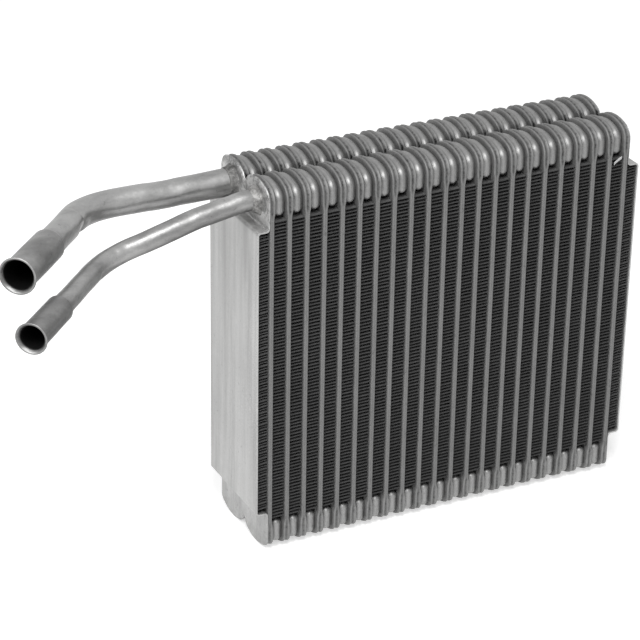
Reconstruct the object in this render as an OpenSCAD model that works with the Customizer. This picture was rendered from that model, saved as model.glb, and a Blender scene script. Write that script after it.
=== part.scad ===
// Plate and fin evaporator core of a vehicle air conditioner.
// X runs along the stack of tubes away from the pipes, Y from the air inlet face to the rear, Z up.
// The origin is the middle of the outer face of the plate at the pipe end.

/* [Core] */
// Number of flat tubes in the stack
tube_count = 22; // [4:1:24]
// Distance between the middles of neighbouring tubes
tube_pitch = 10.8; // [10:0.1:12]
// Thickness of a flat tube between its fins
tube_t = 2.8; // [2.4:0.1:3.4]
// Depth of the core along the air stream
core_depth = 63.5; // [60:0.5:72]
// Height of a tube over the crowns of its tanks
tube_h = 229; // [150:1:300]
// Wall of the tube plates
plate_wall = 0.5; // [0.4:0.05:0.7]
// Width of the brazed rim at a tube's edges
edge_w = 2.2; // [1.5:0.1:3]
// Width of the rib that parts the front and the rear passage
rib_w = 4; // [2:0.5:6]
// Depth of the seam between the two plates of a tube
seam_depth = 0.3; // [0.1:0.05:0.5]
// Width of the seam between the two plates of a tube
seam_w = 0.3; // [0.1:0.05:0.5]

/* [Tanks] */
// Height of a tank from the ends of the fins to the top of its crown
tank_h = 20.2; // [19:0.1:24]
// Thickness of the brazed rim round the tanks
rim_t = 3.8; // [3.5:0.1:4.4]
// Distance that the rim stands out beyond the beads
rim_w = 1; // [0.6:0.1:2]
// Rise of a tank's crown above its shoulders
crown_rise = 10.2; // [9.4:0.1:12]
// Radius of a crown's shoulders
shoulder_r = 8.8; // [8:0.1:9.6]
// Gap between the cups and the fins
cup_gap = 1.1; // [0.8:0.1:3]
// Radius of the cups' corners next to the fins, counted at the rim
corner_r = 5; // [4.8:0.1:7]
// Height of the round bead that each pair of cups makes
bead_h = 2; // [1.4:0.1:2.8]
// Wall of a cup at its neck
cup_wall = 0.8; // [0.4:0.1:1.1]
// Depth of the notch between the front and the rear crown
notch_depth = 6.5; // [4:0.5:8]
// Height of the passage from the front to the rear tank in the last tube
crossover_h = 5; // [3:0.5:6]

/* [Fins] */
// Distance between the folds of a fin
fin_fold = 3.3; // [3:0.1:6]
// Thickness of the fin strip
fin_t = 0.35; // [0.2:0.05:0.5]
// Distance that a fin stands back from the edges of the tubes
fin_setback = 0.4; // [0:0.1:2]

/* [End plates] */
// Thickness of the end plates
end_t = 1; // [0.8:0.1:1.5]
// Room for the fin behind an end plate
end_fin_w = 6.6; // [5:0.1:9]
// Distance from the ends of the fins to the ends of an end plate's flat panel
panel_gap = 5.3; // [3.5:0.1:15]
// Outer radius of an end plate's bends
bend_r = 2.2; // [1.6:0.1:3]

/* [Pipes] */
// Outer radius of the suction pipe
suction_r = 8; // [7:0.25:8.5]
// Distance from the top of the crowns down to the middle of the suction pipe
suction_drop = 13.8; // [13:0.1:15]
// Distance from the core to the corner of the suction pipe
suction_run = 87.7; // [70:0.1:120]
// Distance from the suction pipe's corner to its socket
suction_reach = 52; // [30:0.5:80]
// Bend radius of the suction pipe
suction_bend = 36; // [24:1:44]
// Inner radius of the suction socket
suction_socket_r = 8.1; // [7.5:0.05:9]
// Length of the suction socket
suction_socket = 43; // [25:1:60]
// Outer radius of the liquid pipe
liquid_r = 6; // [5:0.25:6.5]
// Distance from the top of the crowns down to the middle of the liquid pipe
liquid_drop = 12.6; // [11.5:0.1:15]
// Distance that the liquid pipe runs straight out of the core
liquid_stub = 9; // [8:0.5:12]
// Distance from the core to the liquid pipe's first corner
liquid_run = 36.4; // [30:0.1:50]
// Drop of the liquid pipe from the core to its first corner
liquid_first_drop = 5; // [2:0.1:6.5]
// Distance along the core's axis from the first to the second corner
liquid_second_run = 54; // [40:0.5:70]
// Drop of the liquid pipe from its first to its second corner
liquid_second_drop = 14.4; // [11:0.1:20]
// Distance from the liquid pipe's second corner to its socket
liquid_reach = 61.5; // [40:0.5:80]
// Bend radius of the liquid pipe
liquid_bend = 38; // [24:1:50]
// Inner radius of the liquid socket
liquid_socket_r = 6.4; // [5.5:0.1:7]
// Length of the liquid socket
liquid_socket = 39; // [25:1:55]
// Wall of both pipes
pipe_wall = 1.1; // [0.8:0.1:1.5]
// Angle by which both pipes turn towards the front
turn = 46.5; // [30:0.5:60]
// Length of the shoulder where a pipe widens to its socket
flare_in = 4; // [3:0.5:8]
// Length of the flared lip at a socket's mouth
lip_len = 4; // [2:0.5:6]
// Height of the flared lip at a socket's mouth
lip_h = 1.3; // [0.8:0.1:2]
// Radial gap between a pipe and its hole, filled by the brazing
braze_gap = 0.05; // [0.02:0.01:0.1]
// Length of the brazed cone round a pipe
braze_len = 4.5; // [3:0.5:6]
// Width of the brazed cone of the liquid pipe at the end plate
liquid_braze_w = 2.6; // [1.5:0.1:3]
// Width of the brazed cone of the suction pipe at the end plate
suction_braze_w = 1.6; // [1:0.1:1.8]

/* [Hidden] */
$fn = 64;
end_names = ["pipe_end_plate", "blind_end_plate", "suction_pipe", "liquid_pipe",
             "suction_braze", "liquid_braze"];
tube_names = [for (i = [1:tube_count]) str("tube_", two_digits(i))];
fin_names = [for (i = [1:tube_count + 1]) str("fin_", two_digits(i))];

// Heights that follow from the tubes
fin_h = tube_h - 2 * tank_h;
panel_h = fin_h - 2 * panel_gap;
suction_z = tube_h / 2 - suction_drop;
liquid_z = tube_h / 2 - liquid_drop;

// Places along the stack
stack_x = end_t + end_fin_w;
cap_x = stack_x - end_t;
first_x = stack_x + tube_t / 2;
core_x = 2 * first_x + (tube_count - 1) * tube_pitch;
cup_reach = (tube_pitch - rim_t) / 2;

// Form of a tank's crown: two shoulder arcs and a flatter arc over them
tank_y = core_depth / 4;
shoulder_y = tank_y - shoulder_r;
shoulder_z = tube_h / 2 - crown_rise;
crown_r = (shoulder_y * shoulder_y + crown_rise * crown_rise - shoulder_r * shoulder_r)
          / (2 * (crown_rise - shoulder_r));
crown_z = tube_h / 2 - crown_r;
crown_half = asin(shoulder_y / (crown_r - shoulder_r));
flank = shoulder_y + shoulder_r;

// Lower edges of the thicker rim and of the cups' outline before it is drawn in
rim_z = fin_h / 2 + cup_gap / 2;
cup_z = fin_h / 2 + cup_gap - rim_w;

// Form of the drawn cups
bead_steps = 3;
port_inset = rim_w + bead_h + cup_wall;
passage_x = tube_t / 2 - plate_wall;

// Inner radius of the end plates' bends
inner_bend_r = bend_r - end_t;

// A bend is a little thicker than its straight lengths, which reach this far into it
bend_swell = 0.05;
bend_lap = 0.1;

// Overlap that carries a cut through a face
eps = 0.01;

// How far step k of a bead lies inside the rim, from the groove at the rim to the crest
function step_inset(k) =
    rim_w + bead_h * pow(1 - (k + 0.5) / bead_steps, 2);
function two_digits(i) = i < 10 ? str("0", i) : str(i);
function unit(v) = v / norm(v);

// Carries a drawing of Y and Z from x0 to x1
module along_x(x0, x1) {
    translate([x0, 0, 0])
        rotate([90, 0, 90])
            linear_extrude(x1 - x0)
                children();
}

// Carries a drawing of X and Z through the depth of the core, less a setback at both faces
module through_depth(setback) {
    translate([0, core_depth / 2 - setback, 0])
        rotate([90, 0, 0])
            linear_extrude(core_depth - 2 * setback)
                children();
}

// Both ends of a tube, from what is drawn for the upper end
module at_both_ends() {
    for (end = [0, 1])
        mirror([0, 0, end])
            children();
}

// Upper part of a crown in Y and Z about Y = 0, drawn in by inset
module crown_top(inset) {
    for (side = [-1, 1])
        translate([side * shoulder_y, shoulder_z])
            circle(shoulder_r - inset);
    intersection() {
        translate([0, crown_z])
            circle(crown_r - inset);
        polygon([[0, crown_z],
                 [crown_r * tan(crown_half), crown_z + crown_r],
                 [-crown_r * tan(crown_half), crown_z + crown_r]]);
    }
}

// Outline of one cup about Y = 0, drawn in by inset: a crown above, small corners below
module cup_outline(inset) {
    crown_top(inset);
    for (side = [-1, 1])
        translate([side * (flank - corner_r), cup_z + corner_r])
            circle(corner_r - inset);
    translate([-flank + inset, cup_z + corner_r])
        square([2 * (flank - inset), shoulder_z - cup_z - corner_r]);
    translate([-flank + corner_r, cup_z + inset])
        square([2 * (flank - corner_r), corner_r]);
}

// Upper end of a tube plate's outline above the height low, drawn in by inset
module end_outline(inset, low) {
    half = core_depth / 2 - inset;
    for (y = [-tank_y, tank_y])
        translate([y, 0])
            crown_top(inset);
    translate([-half, low])
        square([2 * half, shoulder_z - low]);
    translate([-shoulder_r, low])
        square([2 * shoulder_r, tube_h / 2 - notch_depth - inset - low]);
}

// The four ports, one in each cup of a tube, round above and square below
module ports() {
    port_r = shoulder_r - port_inset;
    half = flank - port_inset;
    for (end = [0, 1])
        mirror([0, end])
            for (y = [-tank_y, tank_y]) {
                for (side = [-1, 1])
                    translate([y + side * shoulder_y, shoulder_z])
                        circle(port_r);
                translate([y - shoulder_y, shoulder_z])
                    square([2 * shoulder_y, port_r]);
                translate([y - half, cup_z + port_inset])
                    square([2 * half, shoulder_z - cup_z - port_inset]);
            }
}

// Whole outline of a tube plate, drawn in by inset
module plate_outline(inset) {
    for (end = [0, 1])
        mirror([0, end])
            end_outline(inset, 0);
}

// The hollow between two plates: a front and a rear passage that open into the ports
module passages(crossing) {
    for (side = [0, 1])
        mirror([side, 0])
            translate([rib_w / 2, -shoulder_z])
                square([core_depth / 2 - edge_w - rib_w / 2, 2 * shoulder_z]);
    if (crossing)
        translate([-rib_w, -shoulder_z])
            square([2 * rib_w, crossover_h]);
}

// The two holes for the pipes, wider than the pipes by gap
module pipe_holes(gap) {
    translate([tank_y, suction_z])
        circle(suction_r + gap);
    translate([-tank_y, liquid_z])
        circle(liquid_r + gap);
}

// One drawn plate on the side towards +X: half the hollow, wall, thicker rims, stepped beads
module plate(crossing) {
    along_x(0, seam_w / 2)
        difference() {
            plate_outline(seam_depth);
            ports();
            passages(crossing);
        }
    along_x(seam_w / 2, passage_x)
        difference() {
            plate_outline(0);
            ports();
            passages(crossing);
        }
    along_x(passage_x, tube_t / 2)
        difference() {
            plate_outline(0);
            children();
        }
}

// The thicker rim and the cups of a plate, half a round bead at the neighbour made of steps
module cups() {
    along_x(tube_t / 2, rim_t / 2)
        difference() {
            for (end = [0, 1])
                mirror([0, end])
                    end_outline(0, rim_z);
            ports();
        }
    for (k = [0:bead_steps - 1])
        along_x(rim_t / 2 + k * cup_reach / bead_steps, rim_t / 2 + (k + 1) * cup_reach / bead_steps)
            difference() {
                for (end = [0, 1])
                    mirror([0, end])
                        for (y = [-tank_y, tank_y])
                            translate([y, 0])
                                cup_outline(step_inset(k));
                ports();
            }
}

// A flat tube: two drawn plates brazed together at their rims and at the middle rib
module tube(n) {
    first = n == 1;
    last = n == tube_count;
    color([0.62, 0.62, 0.62])
        translate([first_x + (n - 1) * tube_pitch, 0, 0]) {
            mirror([1, 0, 0]) {
                plate(last)
                    if (first)
                        pipe_holes(-pipe_wall);
                    else
                        ports();
                if (!first)
                    cups();
            }
            plate(last)
                if (!last)
                    ports();
            if (!last)
                cups();
        }
}

// A fin: one strip folded to and fro between two tubes, width across and height h
module fin_block(x0, width, h) {
    folds = floor(h / fin_fold);
    step = h / folds;
    across = fin_t * norm([width, step]) / step;
    near = [for (i = [0:folds]) [i % 2 == 0 ? 0 : width - across, i * step - h / 2]];
    far = [for (i = [folds:-1:0]) [i % 2 == 0 ? across : width, i * step - h / 2]];
    color([0.26, 0.26, 0.27])
        translate([x0, 0, 0])
            through_depth(fin_setback)
                polygon(concat(near, far));
}

module fin(n) {
    if (n == 1)
        fin_block(end_t, end_fin_w, panel_h - 2 * bend_r);
    else if (n == tube_count + 1)
        fin_block(core_x - stack_x, end_fin_w, panel_h - 2 * bend_r);
    else
        fin_block(first_x + (n - 2) * tube_pitch + tube_t / 2, tube_pitch - tube_t, fin_h);
}

// A channel's section in X and Z: height h, both left corners of radius r
module channel_section(x0, x1, h, r) {
    translate([x0 + r, -h / 2])
        square([x1 - x0 - r, h]);
    translate([x0, -h / 2 + r])
        square([x1 - x0, h - 2 * r]);
    for (side = [-1, 1])
        translate([x0 + r, side * (h / 2 - r)])
            circle(r);
}

// An end plate: a panel over the end fin, bent in above and below to caps that close the tanks
module end_plate(with_holes) {
    color([0.72, 0.72, 0.72])
        difference() {
            union() {
                through_depth(0) {
                    difference() {
                        channel_section(0, stack_x - bend_r, panel_h, bend_r);
                        channel_section(end_t, stack_x, panel_h - 2 * end_t, inner_bend_r);
                    }
                    for (side = [0, 1])
                        mirror([0, side])
                            translate([stack_x - bend_r, panel_h / 2 - end_t + bend_r])
                                difference() {
                                    intersection() {
                                        circle(bend_r);
                                        translate([0, -bend_r])
                                            square(bend_r);
                                    }
                                    circle(inner_bend_r);
                                }
                }
                at_both_ends()
                    along_x(cap_x, stack_x)
                        end_outline(0, panel_h / 2 + inner_bend_r);
            }
            if (with_holes)
                along_x(cap_x - eps, stack_x + eps)
                    pipe_holes(braze_gap);
        }
}

// Length of straight that a bend takes from each side of its corner
function bend_cut(points, i, bend) =
    i <= 0 || i >= len(points) - 1 ? 0 :
    bend * tan(acos(unit(points[i] - points[i - 1]) * unit(points[i + 1] - points[i])) / 2);

// Section of a pipe's wall, thicker by swell outside and inside
module pipe_ring(r, swell) {
    difference() {
        circle(r + swell);
        circle(r - pipe_wall - swell);
    }
}

// Carries a pipe of radius r along the points from number i on, with a bend at each inner one,
// and puts what is drawn for its end there. Z runs along the line and X is the direction across.
module bent_run(points, bend, r, i, across) {
    d = unit(points[i + 1] - points[i]);
    straight = norm(points[i + 1] - points[i]) - bend_cut(points, i, bend)
               - bend_cut(points, i + 1, bend);
    before = i > 0 ? bend_lap : 0;
    beyond = i < len(points) - 2 ? bend_lap : 0;
    translate([0, 0, -before])
        linear_extrude(before + straight + beyond)
            pipe_ring(r, 0);
    if (i == len(points) - 2)
        translate([0, 0, straight])
            children();
    else {
        after = unit(points[i + 2] - points[i + 1]);
        inward = unit(after - (after * d) * d);
        angle = acos(d * after);
        translate([0, 0, straight])
            rotate([0, 0, atan2(inward * cross(d, across), inward * across)])
                translate([bend, 0, 0]) {
                    rotate([90, 0, 180])
                        rotate_extrude(angle = angle)
                            translate([bend, 0])
                                pipe_ring(r, bend_swell);
                    rotate([0, angle, 0])
                        translate([-bend, 0, 0])
                            bent_run(points, bend, r, i + 1,
                                     cos(angle) * inward - sin(angle) * d)
                                children();
                }
    }
}

// Wall of a socket along Z: shoulder, sleeve and flared lip
module socket(pipe_r, bore_r, length) {
    sleeve_r = bore_r + pipe_wall;
    rotate_extrude()
        polygon([[pipe_r - pipe_wall, 0], [pipe_r, 0], [sleeve_r, flare_in],
                 [sleeve_r, length - lip_len], [sleeve_r + lip_h, length - lip_len / 4],
                 [sleeve_r + lip_h, length], [bore_r + lip_h, length],
                 [bore_r, length - lip_len / 2], [bore_r, flare_in]]);
}

// A pipe along the points, with a socket of the given length beyond the last one
module pipe(points, bend, pipe_r, bore_r, length) {
    color([0.7, 0.7, 0.7])
        translate(points[0])
            rotate([0, -90, 0])
                bent_run(points, bend, pipe_r, 0, [0, 0, 1])
                    socket(pipe_r, bore_r, length);
}

// Routes of the pipes, from the first tube's face outwards
turned = [-cos(turn), -sin(turn), 0];
suction_root = [stack_x, tank_y, suction_z];
suction_corner = suction_root - [suction_run, 0, 0];
suction_points = [suction_root, suction_corner, suction_corner + suction_reach * turned];
liquid_root = [stack_x, -tank_y, liquid_z];
liquid_first = liquid_root - [liquid_run, 0, liquid_first_drop];
liquid_second = liquid_first - [liquid_second_run, 0, liquid_second_drop];
liquid_points = [liquid_root, liquid_root - [liquid_stub, 0, 0], liquid_first, liquid_second,
                 liquid_second + liquid_reach * turned];

// The brazed cone round a pipe where it enters the end plate
module braze(y, z, pipe_r, width) {
    color([0.5, 0.5, 0.5])
        translate([cap_x, y, z])
            rotate([0, -90, 0])
                rotate_extrude()
                    polygon([[pipe_r, 0], [pipe_r + width, 0],
                             [pipe_r + width / 5, braze_len], [pipe_r, braze_len]]);
}

end_plate(true);  // pipe_end_plate
translate([core_x, 0, 0])  // blind_end_plate
        mirror([1, 0, 0])
            end_plate(false);
pipe(suction_points, suction_bend, suction_r, suction_socket_r, suction_socket);  // suction_pipe
pipe(liquid_points, liquid_bend, liquid_r, liquid_socket_r, liquid_socket);  // liquid_pipe
braze(tank_y, suction_z, suction_r, suction_braze_w);  // suction_braze
braze(-tank_y, liquid_z, liquid_r, liquid_braze_w);  // liquid_braze
for (i = [1:tube_count])
    tube(i);
for (i = [1:tube_count + 1])
    fin(i);
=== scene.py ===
import math
import bpy
import numpy as np
from mathutils import Matrix, Vector


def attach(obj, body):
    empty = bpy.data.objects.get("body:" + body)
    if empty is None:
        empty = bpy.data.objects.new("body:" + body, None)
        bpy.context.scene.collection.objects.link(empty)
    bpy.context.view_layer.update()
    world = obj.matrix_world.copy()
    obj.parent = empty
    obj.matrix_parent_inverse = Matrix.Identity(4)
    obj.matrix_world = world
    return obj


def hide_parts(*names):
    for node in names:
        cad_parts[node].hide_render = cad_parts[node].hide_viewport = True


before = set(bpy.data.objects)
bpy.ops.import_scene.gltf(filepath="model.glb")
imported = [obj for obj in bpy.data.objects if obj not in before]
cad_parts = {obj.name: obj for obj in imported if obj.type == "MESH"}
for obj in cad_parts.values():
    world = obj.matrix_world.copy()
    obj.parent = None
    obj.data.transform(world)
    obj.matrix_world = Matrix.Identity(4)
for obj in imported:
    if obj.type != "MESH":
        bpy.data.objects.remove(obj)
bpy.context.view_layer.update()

mm = 0.001

# sizes in millimetres that several pieces share; rimHalf, footR and footNotch are the scene's own
core = dict(
    pitch=10.8, tubes=22, firstX=9.0,           # spacing, number and first place of the tubes along X
    length=244.8, depth=63.5, height=229.0,
    tubeHalf=1.4, rimHalf=2.2,                  # half a tube's thickness beside the fins and at the tanks
    crownRise=10.2, shoulderR=8.8, notch=6.5,   # crown above its shoulders' centres, and depth of the notch
    footR=5.0, footNotch=8.2,                   # outer shoulders and notch at the foot
    stackX=7.6, panelHalf=89.0,                 # back of an end plate's caps, half its panel's height
    finHalf=94.3, cupGap=1.1, cupCornerR=5.0,   # end of the fins, gap from there to the cups, their corners
    arcPoints=12, cornerPoints=7, lowPoints=8,  # points of an outline's arcs, low corners and low edges
)
tankY = core["depth"] / 4
shoulderY = tankY - core["shoulderR"]
shoulderZ = core["height"] / 2 - core["crownRise"]
crownR = (shoulderY ** 2 + core["crownRise"] ** 2 - core["shoulderR"] ** 2) / (
    2 * (core["crownRise"] - core["shoulderR"]))
crownZ = core["height"] / 2 - crownR
crownHalf = math.asin(shoulderY / (crownR - core["shoulderR"]))

# starting numbers of the random draws
seeds = dict(cups=100, finLegs=300, finWaves=500, pipeSidePlate=41, farSidePlate=42)


# 0 below low, 1 above high, smooth between them
def smoothStep(low, high, value):
    t = np.clip((value - low) / (high - low), 0.0, 1.0)
    return t * t * (3 - 2 * t)


# Smooth noise: a sum of sines of the coordinates with seeded directions and phases.
def wobble(seed, count, *coords):
    rng = np.random.default_rng(seed)
    total = 0.0
    for _ in range(count):
        waves = rng.normal(size=len(coords))
        total = total + np.sin(sum(w * c for w, c in zip(waves, coords)) + rng.uniform(0, 2 * math.pi))
    return total / math.sqrt(count)


# Corner numbers of the quads of a rows by cols grid whose first vertex is number start.
def gridQuads(rows, cols, closeRows, closeCols, start):
    row = np.arange(rows if closeRows else rows - 1)[:, None]
    col = np.arange(cols if closeCols else cols - 1)[None, :]
    nextRow, nextCol = (row + 1) % rows, (col + 1) % cols
    corners = [row * cols + col, row * cols + nextCol, nextRow * cols + nextCol, nextRow * cols + col]
    return np.stack(corners, axis=-1).reshape(-1, 4) + start


# Collects grids and flat polygons in millimetres and turns them into one mesh.
class Surface:
    def __init__(self):
        self.points, self.faces, self.count = [], [], 0

    def add(self, points, faces, flip):
        self.points.append(points)
        self.faces.append(faces[:, ::-1] if flip else faces)
        self.count += len(points)

    def grid(self, points, closeRows=False, closeCols=False, flip=False):
        quads = gridQuads(*points.shape[:2], closeRows, closeCols, self.count)
        self.add(points.reshape(-1, 3), quads, flip)

    def polygon(self, points, flip):
        self.add(points, np.arange(len(points))[None, :] + self.count, flip)

    # Closed rings joined into a solid, with a flat face at the first and the last ring.
    def rod(self, rings, flip=False):
        self.grid(rings, closeCols=True, flip=flip)
        self.polygon(rings[0], not flip)
        self.polygon(rings[-1], flip)

    # Open lines joined all the way round into a solid, with a flat face at both ends of the lines.
    def sheet(self, lines, flip=False):
        self.grid(lines, closeRows=True, flip=flip)
        self.polygon(lines[:, 0], flip)
        self.polygon(lines[:, -1], not flip)

    # One mesh in metres, smooth but for edges above sharp degrees, handed to the frame.
    def build(self, name, material, nodes, sharp):
        mesh = bpy.data.meshes.new(name)
        points = np.concatenate(self.points) * mm
        loops = np.concatenate([f.reshape(-1) for f in self.faces])
        totals = np.concatenate([np.full(len(f), f.shape[1]) for f in self.faces])
        mesh.vertices.add(len(points))
        mesh.vertices.foreach_set("co", points.astype(np.float32).reshape(-1))
        mesh.loops.add(len(loops))
        mesh.loops.foreach_set("vertex_index", loops.astype(np.int32))
        mesh.polygons.add(len(totals))
        mesh.polygons.foreach_set("loop_start", (np.cumsum(totals) - totals).astype(np.int32))
        mesh.update(calc_edges=True)
        mesh.validate()
        mesh.polygons.foreach_set("use_smooth", np.ones(len(mesh.polygons), dtype=bool))
        mesh.set_sharp_from_angle(angle=math.radians(sharp))
        piece = bpy.data.objects.new(name, mesh)
        bpy.context.scene.collection.objects.link(piece)
        mesh.materials.append(material)
        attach(piece, "root")
        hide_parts(*nodes)
        return piece


# heights of the points on a straight flank of the outline that tubes and end plates share
flankZ = np.array([0, 30, 60, 82, 88, 90.2, 92, 93.5, 95, 96.5, 98.5, 101.5])


# Points of a circle's arc about (y, z), from one angle to another.
def arc(y, z, radius, start, end, count=core["arcPoints"]):
    angle = np.linspace(start, end, count)
    return np.stack([y + radius * np.cos(angle), z + radius * np.sin(angle)], axis=-1)


# Centre of a shoulder arc about Y = 0 that touches the flank and the crown arc, and the angle from
# upright at which it meets the crown.
def shoulderArc(radius):
    y = core["depth"] / 4 - radius
    return y, crownZ + math.sqrt((crownR - radius) ** 2 - y ** 2), math.asin(y / (crownR - radius))


# Half a plate's edge from the rear flank over both crowns to the front flank, drawn in by inset: straight
# flank, shoulder arc, flatter crown arc, shoulder arc down to the notch.
def upperOutline(inset, foot=False):
    radius, notch = (core["footR"], core["footNotch"]) if foot else (core["shoulderR"], core["notch"])
    outerY, outerZ, outerHalf = shoulderArc(radius)
    shoulder = core["shoulderR"] - inset
    valley = math.asin((core["crownRise"] - notch - inset) / shoulder)
    flank = np.stack([np.full(len(flankZ), core["depth"] / 2 - inset), flankZ], axis=-1)
    outer = arc(tankY + outerY, outerZ, radius - inset, 0, math.pi / 2 - outerHalf)
    crown = arc(tankY, crownZ, crownR - inset, math.pi / 2 - outerHalf, math.pi / 2 + crownHalf)
    inner = arc(tankY - shoulderY, shoulderZ, shoulder, math.pi / 2 + crownHalf, math.pi - valley)
    rear = np.concatenate([flank, outer, crown[1:-1], inner])
    return np.concatenate([rear, rear[::-1] * [-1, 1]])


# The whole closed edge of a plate: the upper half, then the foot's half mirrored in Z.
def plateOutline(inset):
    upper, lower = upperOutline(inset), upperOutline(inset, True)
    return np.concatenate([upper, lower[-2:0:-1] * [1, -1]])


# The closed edge of one cup: small lower corners, upright flanks, shoulder arcs and the flatter crown arc
# above. Its outer side, towards +Y, is tighter at the foot of the core.
def crownLoop(inset, foot):
    shoulder, corner = core["shoulderR"] - inset, max(core["cupCornerR"] - inset, tube["leastCornerR"])
    radius = core["footR"] if foot else core["shoulderR"]
    outerY, outerZ, outerHalf = shoulderArc(radius)
    flank = shoulderY + core["shoulderR"]
    lowZ = core["finHalf"] + core["cupGap"] - tube["rimW"]
    cornerY, cornerZ = flank - inset - corner, lowZ + inset + corner
    lowY = np.linspace(-cornerY, cornerY, core["lowPoints"])
    low = np.stack([lowY, np.full(len(lowY), lowZ + inset)], axis=-1)
    rightLow = arc(cornerY, cornerZ, corner, -math.pi / 2, 0, core["cornerPoints"])
    right = arc(outerY, outerZ, radius - inset, 0, math.pi / 2 - outerHalf)
    crown = arc(0, crownZ, crownR - inset, math.pi / 2 - outerHalf, math.pi / 2 + crownHalf)
    left = arc(-shoulderY, shoulderZ, shoulder, math.pi / 2 + crownHalf, math.pi)
    leftLow = arc(-cornerY, cornerZ, corner, math.pi, 1.5 * math.pi, core["cornerPoints"])
    return np.concatenate([low[:-1], rightLow, right, crown[1:-1], left, leftLow[:-1]])


# Places points of Y and Z at x, a number or one value a point.
def atX(outline, x):
    return np.stack([np.broadcast_to(x, len(outline)), outline[:, 0], outline[:, 1]], axis=-1)


# flat tubes
tube = dict(
    # from the flat face round the edge to the seam: inset and X beside the fins, then at the tanks
    rim=[(3.2, 1.4, 3.4, 2.2), (1.0, 1.4, 1.5, 2.2), (0.5, 1.3, 0.7, 2.16), (0.19, 1.1, 0.25, 2.0),
         (0.05, 0.85, 0.05, 1.76), (0, 0.6, 0, 1.5), (0.01, 0.4, 0.1, 1.15), (0.03, 0.25, 0.35, 0.75),
         (0.08, 0.13, 0.62, 0.35), (0.15, 0.05, 0.74, 0.06)],
    flatInset=3,                        # rim points set in further lie on the flat face and don't waver
    thickerFrom=94.6, thickerTo=100.5,  # heights between which the rim flares out
    waver=0.11, waves=(7, 9),           # how far the rim wavers, and the scale of that along Y and Z
    rimW=1.45, beadH=1.8, fullness=1.8,  # bead's setback from the rim, its height and how full its flank is
    grooveX=2.22, crestX=5.4,           # where a cup's flank starts, and where it meets the next tube's
    crestGap=0.03, crestStep=0.15,      # a fine step there, along X and inwards
    cupRoot=[(0.6, 1.9), (0.15, 2.1)],  # rings inside the rim: further inset than the flank, and X
    cupRings=16, crowd=1.3, ripple=0.07, ripples=4, dimples=0.05, dimpleScale=5, leastCornerR=0.2,
)


# Two plates back to back: the outline carried round the edge, drawn in a little by smooth noise. Beside
# the fins it is a narrow strip; at the tanks it flares out to two ridges with the seam between them, but
# only on the given sides.
def rimSurface(piece, x, sides, seed):
    profile = [(*row, 1) for row in tube["rim"]] + [(*row, -1) for row in tube["rim"][::-1]]
    bare = plateOutline(0)
    waveY, waveZ = tube["waves"]
    noise = np.clip(wobble(seed, 5, bare[:, 0] / waveY, bare[:, 1] / waveZ), -1, 1)
    shift = tube["waver"] * 0.5 * (1 + noise)
    flare = smoothStep(tube["thickerFrom"], tube["thickerTo"], np.abs(bare[:, 1]))
    rings = []
    for inset, out, tankInset, tankOut, side in profile:
        ring = plateOutline(inset) * (1 - flare)[:, None] + plateOutline(tankInset) * flare[:, None]
        drawnIn = np.sign(ring) * np.minimum(shift[:, None], np.abs(ring))
        ring = ring - drawnIn * (inset < tube["flatInset"])
        widest = core["rimHalf"] if side in sides else core["tubeHalf"]
        rings.append(atX(ring, x + side * np.minimum(out + (tankOut - out) * flare, widest)))
    piece.rod(np.array(rings), flip=True)


# One drawn cup: its loop carried from the groove at the rim out to the crest of the bead, where it meets
# the neighbour's cup. The flank is full near the crest and faintly stepped.
def cupSurface(piece, x, side, y, end, seed):
    out = np.linspace(0, 1, tube["cupRings"]) ** tube["crowd"]
    bead = tube["rimW"] + tube["beadH"] * (1 - out) ** tube["fullness"]
    bead = bead - tube["ripple"] * np.sin(out * tube["ripples"] * 2 * math.pi) * (1 - out)
    foot, grooveX, crestX = tube["rimW"] + tube["beadH"], tube["grooveX"], tube["crestX"]
    rootInsets = [foot + inset for inset, place in tube["cupRoot"]]
    rootPlaces = [place for inset, place in tube["cupRoot"]]
    insets = np.concatenate([rootInsets, bead, [tube["rimW"] + tube["crestStep"]]])
    places = np.concatenate([rootPlaces, grooveX + (crestX - tube["crestGap"] - grooveX) * out, [crestX]])
    outward = 1 if y > 0 else -1
    rings = []
    for inset, place in zip(insets, places):
        ring = crownLoop(inset, end < 0)
        noise = wobble(seed, 4, ring[:, 0] / tube["dimpleScale"], ring[:, 1] / tube["dimpleScale"])
        ring = ring + tube["dimples"] * noise[:, None]
        rings.append(atX(ring * [outward, end] + [y, 0], x + side * place))
    piece.rod(np.array(rings), flip=side * outward * end < 0)


# The rim of tube n and its cups, two above and two below on each side that has a neighbour.
def makeTube(n):
    piece = Surface()
    x = core["firstX"] + (n - 1) * core["pitch"]
    sides = [side for side in (-1, 1) if 1 <= n + side <= core["tubes"]]
    rimSurface(piece, x, sides, n)
    for side in sides:
        for y in (-tankY, tankY):
            for end in (-1, 1):
                seed = seeds["cups"] + 8 * n + 4 * (side > 0) + 2 * (y > 0) + (end > 0)
                cupSurface(piece, x, side, y, end, seed)
    return piece.build(f"tube_body_{n:02d}", metals["tube"], [f"tube_{n:02d}"], sharp=50)


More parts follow.
